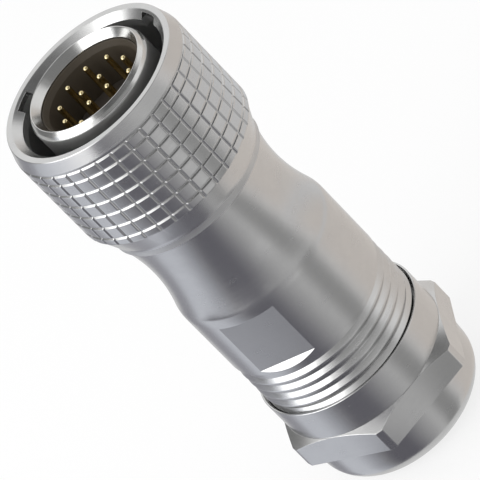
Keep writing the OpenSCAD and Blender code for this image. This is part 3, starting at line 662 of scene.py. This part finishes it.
# Housing with its wrench flats
def neck_outline():
    """The hollow neck from its soft start on the body up to the face."""
    drop, span = BODY_R - WAIST_R, NECK_ROUND + NECK_BLEND
    centre = NECK_LOW + math.sqrt(2 * NECK_ROUND * drop - drop * drop)
    reach = math.sqrt(2 * span * drop - drop * drop)
    tilt = math.asin(reach / span)
    points = []
    for k in range(BLEND_STEPS + 1):
        a = tilt * k / BLEND_STEPS
        points.append((BODY_R - NECK_BLEND * (1 - math.cos(a)), centre - reach + NECK_BLEND * math.sin(a), 0))
    start = points[-1][1]
    for k in range(1, NECK_STEPS + 1):
        z = start + (FACE - start) * k / NECK_STEPS
        r = WAIST_R + NECK_ROUND - math.sqrt(NECK_ROUND**2 - (z - centre) ** 2)
        points.append((r, z, 0.06 if k == NECK_STEPS else 0))
    return points


def housing_corners(angle):
    """The housing's outline at one angle: thread core, grip cut down where a wrench flat is, neck and bores."""
    off = min(apart(angle, FLAT_TURN), apart(angle, FLAT_TURN + 180))
    # From 60 degrees on, a flat's plane lies well outside the body
    flat = min(FLAT_R / math.cos(math.radians(min(off, 60))), BODY_R)
    front = NECK_LOW - FLAT_LAND
    rear = front - FLAT_LEN
    ramp = RAMP_LEN * (BODY_R - flat) / (BODY_R - FLAT_R)
    corners = [
        (ROOT_R - START_CHAMFER, HOUSING_LOW, 0.08), (ROOT_R, HOUSING_LOW + START_CHAMFER, 0.08),
        (ROOT_R, GRIP_LOW, 0.1),
        (BODY_R - GRIP_EDGE, GRIP_LOW, 0.02), (BODY_R, GRIP_LOW + GRIP_EDGE, 0.02), (BODY_R, rear - ramp, 0.03),
        (flat, rear, 0.1), (flat, front, 0.1), (BODY_R, front, 0.06)] + neck_outline()
    return corners + [
        (JOINT_R + SEAT_GAP, FACE, 0.1), (JOINT_R + SEAT_GAP, SOCKET_LOW, 0.1), (CAVITY_R, SOCKET_LOW, 0.1),
        (CAVITY_R, SEAT_LOW + SEAT_T, 0.4), (WASHER_BORE_R, SEAT_LOW + SEAT_T, 0.15),
        (WASHER_BORE_R, SEAT_LOW, 0.15), (POCKET_R, SEAT_LOW, 0.2), (POCKET_R, HOUSING_LOW, 0.15)]


def housing():
    """The housing, with its points close together at the sides of the flats."""
    edge = math.degrees(math.acos(FLAT_R / BODY_R))
    edges = [FLAT_TURN + side + s * edge for side in (0, 180) for s in (-1, 1)]
    angles = angles_near(even_angles(BODY_SIDES), edges, (-1.0, -0.45, 0.0, 0.45, 1.0))
    body = turned_piece("waisted_housing", housing_corners, angles, satin_nickel)
    dress(body, "plug", "satin_nickel", "housing")


# Gland thread and the nut's own thread, which runs in its grooves and stays in step as the nut turns
OUTWARDS, INWARDS = -math.pi / 2, math.pi / 2
THREAD_START, THREAD_TURNS, THREAD_UP, THREAD_ANGLE = 14.6, 7.9, 28.6, 235.0
NUT_THREAD_START, NUT_THREAD_TURNS, NUT_CREST_R = 11.0, 4.4, 14.85
FOOT_W, CREST_W, CREST_SHIFT, CREST_ROUND, NUT_FOOT_W, NUT_CREST_ROUND = 1.97, 0.2, -0.05, 0.4, 1.2, 0.1
THREAD_SUNK, THREAD_FADE, TURN_POINTS = 0.05, 0.015, 128


def screw_thread(name, start, half_pitches, inputs):
    """A thread ridge whose foot lies the given half pitches above the housing's."""
    turn = THREAD_ANGLE - (THREAD_UP + half_pitches * THREAD_PITCH / 2 - start) / THREAD_PITCH * 360
    ridge = bpy.data.objects.new(name, bpy.data.meshes.new(name))
    bpy.context.scene.collection.objects.link(ridge)
    return plain_mesh(ridge, thread_tree(), {
        "Pitch": THREAD_PITCH * MM, "Sunk": THREAD_SUNK * MM, "Crest width": CREST_W * MM, "Low": start * MM,
        "Turn": math.radians(turn), "Fade": THREAD_FADE, "Points a turn": TURN_POINTS, "Finish": satin_nickel,
        **inputs})


def gland_threads():
    """The ridge on the housing, and the shallower one in the nut, which lies half a pitch further up."""
    outer = screw_thread("gland_thread_ridge", THREAD_START, 0, {
        "Turns": THREAD_TURNS, "Radius": ROOT_R * MM, "Depth": (CREST_R - ROOT_R) * MM,
        "Base width": FOOT_W * MM, "Crest shift": CREST_SHIFT * MM, "Edge": CREST_ROUND * MM, "Facing": OUTWARDS})
    dress(outer, "plug", "satin_nickel")
    inner = screw_thread("gland_nut_thread_ridge", NUT_THREAD_START, 1, {
        "Turns": NUT_THREAD_TURNS, "Radius": NUT_BORE_R * MM, "Depth": (NUT_BORE_R - NUT_CREST_R) * MM,
        "Base width": NUT_FOOT_W * MM, "Crest shift": 0.0, "Edge": NUT_CREST_ROUND * MM, "Facing": INWARDS})
    dress(inner, "nut", "satin_nickel")


# Gland nut with its hexagon and dome
def nut_corners(angle):
    """The nut's outline at one angle: dome, hexagon with its corners turned off, collar, mouth and bores."""
    hex_step, rim_edge_w, rim_edge_len, rim_w, mouth_chamfer = 0.05, 0.06, 0.1, 0.3, 0.7
    off = 30 - abs((angle - HEX_TURN) % 60 - 30)
    hexagon = min(HEX_FLAT_R / math.cos(math.radians(30 - off)), HEX_TURNED_R)
    collar_low = DOME_H + HEX_H
    corners = [(CABLE_HOLE_R + HOLE_CHAMFER, 0, 0.1), (DOME_SIDE_R - DOME_ROUND, 0, 0)]
    for k in range(1, DOME_STEPS + 1):
        a = math.pi / 2 * k / DOME_STEPS
        corners.append((DOME_SIDE_R - DOME_ROUND * (1 - math.sin(a)), DOME_ROUND * (1 - math.cos(a)), 0))
    return corners + [
        (DOME_TOP_R, DOME_H, 0.08), (hexagon, DOME_H, 0.15),
        (hexagon, collar_low - (hexagon - HEX_FLAT_R) * math.tan(math.pi / 6), 0.15),
        (HEX_FLAT_R - hex_step, collar_low, 0.04), (COLLAR_R, collar_low, 0.02),
        (COLLAR_R, MOUTH - rim_edge_len, 0.04), (COLLAR_R - rim_edge_w, MOUTH, 0.03),
        (COLLAR_R - rim_w, MOUTH, 0.03), (NUT_BORE_R, MOUTH - mouth_chamfer, 0.1),
        (NUT_BORE_R, RELIEF, 0.15), (CHAMBER_R, RELIEF, 0.15), (CHAMBER_R, NUT_FLOOR, 0.2),
        (CABLE_HOLE_R, NUT_FLOOR, 0.15), (CABLE_HOLE_R, HOLE_CHAMFER, 0.1)]


def gland_nut():
    """The nut, with its points close together at the hexagon's corners."""
    edge = math.degrees(math.acos(HEX_FLAT_R / HEX_TURNED_R))
    edges = [HEX_TURN + 30 + 60 * k + s * edge for k in range(6) for s in (-1, 1)]
    angles = angles_near(even_angles(BODY_SIDES), edges, (-0.9, -0.4, 0.0, 0.4, 0.9))
    nut = turned_piece("domed_gland_nut", nut_corners, angles, satin_nickel)
    dress(nut, "nut", "satin_nickel", "gland_nut")


# Rubber pieces
def gasket_corners(_angle):
    """The face gasket's outline, with two grooves in its top that leave three ribs."""
    groove_depth, half_top, half_bottom = 0.22, 0.35, 0.25
    inner = BARREL_R - GASKET_GRIP + SEAT_GAP
    corners = [(inner, GASKET_LOW, 0.15), (FLANGE_R, GASKET_LOW, 0.3), (FLANGE_R, GASKET_TOP, 0.35)]
    for middle in (13.6, 12.4):
        corners += [(middle + half_top, GASKET_TOP, 0.12), (middle + half_bottom, GASKET_TOP - groove_depth, 0.1),
                    (middle - half_bottom, GASKET_TOP - groove_depth, 0.1), (middle - half_top, GASKET_TOP, 0.12)]
    return corners + [(inner, GASKET_TOP, 0.3)]


def seal_corners(_angle):
    """The cable seal's outline, with ribs round its bore between two plain ends."""
    ribs, rib_height, plain_end = 6, 0.5, 0.5
    crest_start, crest_end, foot, next_foot = 0.35, 0.85, 0.4, 0.15
    valley_r = SEAL_BORE_R + rib_height
    pitch = (SEAL_TOP - SEAL_LOW - 2 * plain_end) / ribs
    corners = [(valley_r, SEAL_LOW, 0.3), (SEAL_R, SEAL_LOW, 0.6), (SEAL_R, SEAL_TOP, 0.6),
               (valley_r, SEAL_TOP, 0.3)]
    for k in range(ribs):
        top = SEAL_TOP - plain_end - k * pitch
        corners += [(SEAL_BORE_R, top - crest_start, 0.25), (SEAL_BORE_R, top - pitch + crest_end, 0.25),
                    (valley_r, top - pitch + foot, 0.2), (valley_r, top - pitch + next_foot, 0.2)]
    return corners


def rubber_pieces():
    """The face gasket, and the cable seal, which the nut squeezes."""
    gasket = turned_piece("ribbed_face_gasket", gasket_corners, even_angles(RUBBER_SIDES), black_rubber)
    dress(gasket, "plug", "black_rubber", "face_gasket")
    seal = turned_piece("ribbed_cable_seal", seal_corners, even_angles(RUBBER_SIDES), black_rubber)
    dress(seal, "plug", "black_rubber", "cable_seal")
    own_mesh(seal)


coupling_ring()
plug_shell()
insulator_liner()
contact_pins()
housing()
gland_threads()
gland_nut()
rubber_pieces()

# Finishes of the solids that stay
kept_finish = {
    "insulator": matt_insert, "housing_o_ring": black_rubber, "insert_retaining_ring": plated_steel,
    "seal_seat_washer": plated_steel, "thrust_washer": plated_steel, "wave_washer": spring_steel,
    "coupling_circlip": spring_steel}
for name, finish in kept_finish.items():
    nodes[name].data.materials.clear()
    nodes[name].data.materials.append(finish)


# Studio: white floor that keeps the shadow, one soft box, and cards that only the metal sees
def seen_directly(tree):
    """One where the camera, a mirror or glass looks, nought for light that falls on the plug."""
    path = add(tree, "ShaderNodeLightPath").outputs
    seen = add(tree, "ShaderNodeMath", {0: path["Is Camera Ray"], 1: path["Is Glossy Ray"]}, operation="MAXIMUM")
    return add(tree, "ShaderNodeMath", {
        0: seen.outputs[0], 1: path["Is Transmission Ray"]}, operation="MAXIMUM").outputs[0]


def stage_sheet(name, verts, faces, material):
    """A sheet of the studio, from points in millimetres."""
    mesh = bpy.data.meshes.new(name)
    mesh.from_pydata([Vector(v) * MM for v in verts], [], faces)
    mesh.materials.append(material)
    sheet = bpy.data.objects.new(name, mesh)
    bpy.context.scene.collection.objects.link(sheet)
    return sheet


def white_floor():
    """White paper under the plug. Where it is looked at, most of it is even white and the rest keeps the shadow."""
    even_share, half, low = 0.75, 3000.0, -0.02
    material, tree = new_finish("white_sweep")
    share = add(tree, "ShaderNodeMath", {0: seen_directly(tree), 1: even_share}, operation="MULTIPLY").outputs[0]
    paper = add(tree, "ShaderNodeBsdfDiffuse", {"Color": linear("#F4F4F4")}).outputs[0]
    white = add(tree, "ShaderNodeEmission", {"Color": (1, 1, 1, 1), "Strength": 1.0}).outputs[0]
    mixed = add(tree, "ShaderNodeMixShader", {0: share, 1: paper, 2: white}).outputs[0]
    # Clear from below, so that the rear end can be looked at
    below = add(tree, "ShaderNodeNewGeometry").outputs["Backfacing"]
    clear = add(tree, "ShaderNodeBsdfTransparent").outputs[0]
    sheet = add(tree, "ShaderNodeMixShader", {0: below, 1: mixed, 2: clear}).outputs[0]
    add(tree, "ShaderNodeOutputMaterial", {"Surface": sheet})
    corners = [(-half, -half, low), (half, -half, low), (half, half, low), (-half, half, low)]
    stage_sheet("white_sweep", corners, [(0, 1, 2, 3)], material)


def metal_only(card, cover):
    """Hides a card from all but mirror reflections, and sets how far each of its points covers what is behind."""
    card.data.attributes.new("cover", "FLOAT", "POINT").data.foreach_set("value", cover)
    card.visible_camera = card.visible_diffuse = card.visible_shadow = card.visible_transmission = False


def card_finish(name, colour):
    """Even light of one colour, fading out where the sheet's cover falls to nought."""
    material, tree = new_finish(name)
    cover = add(tree, "ShaderNodeAttribute", attribute_name="cover").outputs["Fac"]
    clear = add(tree, "ShaderNodeBsdfTransparent").outputs[0]
    dim = add(tree, "ShaderNodeEmission", {"Color": linear(colour), "Strength": 1.0}).outputs[0]
    mixed = add(tree, "ShaderNodeMixShader", {0: cover, 1: clear, 2: dim}).outputs[0]
    add(tree, "ShaderNodeOutputMaterial", {"Surface": mixed})
    return material


def soft_grid(name, columns, cover, colour):
    """A card from columns of points side by side, each column with its own cover."""
    rows = len(columns[0])
    verts = [point for column in columns for point in column]
    faces = []
    for i in range(len(columns) - 1):
        for j in range(rows - 1):
            faces.append((i * rows + j, i * rows + j + 1, (i + 1) * rows + j + 1, (i + 1) * rows + j))
    card = stage_sheet(name, verts, faces, card_finish(name, colour))
    metal_only(card, [value for value in cover for _ in range(rows)])


def soft_sides(start, end, feather):
    """Angles from one side of a card to the other, and the cover at each, which fades over the feather."""
    steps = 24
    angles = [start - feather + (end - start + 2 * feather) * i / steps for i in range(steps + 1)]
    return angles, [min(1.0, (a - start) / feather + 1, (end - a) / feather + 1) for a in angles]


def floor_card(name, start, end, feather, colour, lift, near=0.5, far=900.0, rise=260.0):
    """A card that lies on the floor from the plug's foot and stands up at its far end. It covers what upright
    metal shows between two angles of its surface, seen from the photo's azimuth, as a wall mirrors twice its turn."""
    steps = 20
    angles, cover = soft_sides(start, end, feather)
    columns = []
    for angle in angles:
        toward, facing = math.radians(2 * angle - 270), math.radians(angle)
        foot = Vector((math.cos(facing) * BODY_R, math.sin(facing) * BODY_R, lift))
        way = Vector((math.cos(toward), math.sin(toward), 0))
        column = [foot + way * near * (far / near) ** (i / steps) for i in range(steps + 1)]
        columns.append(column + ([column[-1] + Vector((0, 0, rise))] if rise else []))
    soft_grid(name, columns, cover, colour)


def taper_card(name, start, end, feather, colour):
    """A card round the plug under the ring's taper, which alone looks down on it."""
    height, inner, outer = 45.0, 16.3, 20.5
    angles, cover = soft_sides(start, end, feather)
    ways = [Vector((math.cos(math.radians(a)), math.sin(math.radians(a)), 0)) for a in angles]
    up = Vector((0, 0, height))
    soft_grid(name, [[way * inner + up, way * outer + up] for way in ways], cover, colour)


def pale_floor_card():
    """Keeps the metal from mirroring the floor as bright as the sky."""
    half, lift = 2900.0, 0.2
    corners = [(-half, -half, lift), (half, -half, lift), (half, half, lift), (-half, half, lift)]
    card = stage_sheet("pale_floor_card", corners, [(0, 1, 2, 3)], card_finish("pale_floor_card", "#E1E1E1"))
    metal_only(card, [1, 1, 1, 1])


def facing_plug(azimuth, elevation, distance):
    """Place of something in the studio, and the directions of its right, its up and back from the plug."""
    middle = Vector((0, 0, 45))
    a, e = math.radians(azimuth), math.radians(elevation)
    back = Vector((math.cos(a) * math.cos(e), math.sin(a) * math.cos(e), math.sin(e)))
    right = Vector((-math.sin(a), math.cos(a), 0))
    return middle + back * distance, right, back.cross(right), back


def standing_card(name, azimuth, elevation, distance, width, height, feather, colour):
    """A card that faces the plug, with soft edges."""
    centre, right, up, _ = facing_plug(azimuth, elevation, distance)
    across = (-width / 2 - feather, -width / 2, width / 2, width / 2 + feather)
    along = (-height / 2 - feather, -height / 2, height / 2, height / 2 + feather)
    verts = [centre + right * x + up * y for y in along for x in across]
    faces = [(4 * j + i, 4 * j + i + 1, 4 * j + i + 5, 4 * j + i + 4) for j in range(3) for i in range(3)]
    card = stage_sheet(name, verts, faces, card_finish(name, colour))
    metal_only(card, [float(i in (1, 2) and j in (1, 2)) for j in range(4) for i in range(4)])


def soft_box(name, azimuth, elevation, distance, width, height, power):
    """An area lamp aimed at the plug's middle."""
    data = bpy.data.lights.new(name, "AREA")
    data.shape, data.size, data.size_y, data.energy = "RECTANGLE", width * MM, height * MM, power
    lamp = bpy.data.objects.new(name, data)
    centre, right, up, back = facing_plug(azimuth, elevation, distance)
    lamp.matrix_world = Matrix((right, up, back)).transposed().to_4x4()
    lamp.location = centre * MM
    bpy.context.scene.collection.objects.link(lamp)


def white_world():
    """A white room: plain white where it is looked at, a little less as light on the plug."""
    world = bpy.data.worlds.new("white_room")
    world.use_nodes = True
    tree = world.node_tree
    tree.nodes.clear()
    level = add(tree, "ShaderNodeMapRange", {"Value": seen_directly(tree), "To Min": 0.9, "To Max": 1.0}).outputs[0]
    back = add(tree, "ShaderNodeBackground", {"Color": (1, 1, 1, 1), "Strength": level}).outputs[0]
    add(tree, "ShaderNodeOutputWorld", {"Surface": back})
    bpy.context.scene.world = world


white_floor()
white_world()
pale_floor_card()
floor_card("near_grey_card", start=261, end=296, feather=6, colour="#CACACA", lift=0.4)
floor_card("cool_white_card", start=206, end=235, feather=5, colour="#DDE0E8", lift=0.6)
floor_card("warm_white_card", start=308, end=344, feather=10, colour="#E2DBD5", lift=0.6)
# Two cards so far out on the floor that only the ring mirrors them
floor_card("ring_white_card", start=304, end=350, feather=6, colour="#DEE0E3", lift=0.7, near=106, far=150, rise=0)
floor_card("ring_bright_card", start=270, end=280, feather=5, colour="#E6E6E6", lift=0.7, near=106, far=150, rise=0)
floor_card("left_dark_card", start=243, end=258, feather=20, colour="#6C6B73", lift=0.8)
floor_card("right_grey_card", start=286, end=293, feather=6, colour="#9E9E9E", lift=0.8)
floor_card("back_grey_card", start=196, end=205, feather=6, colour="#A0A0A7", lift=0.8)
taper_card("taper_left_card", start=207, end=258, feather=10, colour="#6C6B73")
standing_card("camera_side_card", azimuth=283, elevation=46, distance=550, width=640, height=360, feather=160,
              colour="#8C8C8C")
standing_card("above_camera_card", azimuth=290, elevation=57, distance=520, width=330, height=90, feather=80,
              colour="#484848")
standing_card("upper_right_card", azimuth=-5, elevation=50, distance=600, width=520, height=330, feather=60,
              colour="#6E6E6E")
standing_card("back_left_card", azimuth=134, elevation=9, distance=800, width=690, height=560, feather=100,
              colour="#808080")
soft_box("left_soft_box", azimuth=197, elevation=28, distance=600, width=640, height=530, power=1.9)
bpy.context.scene.view_settings.view_transform = "Standard"
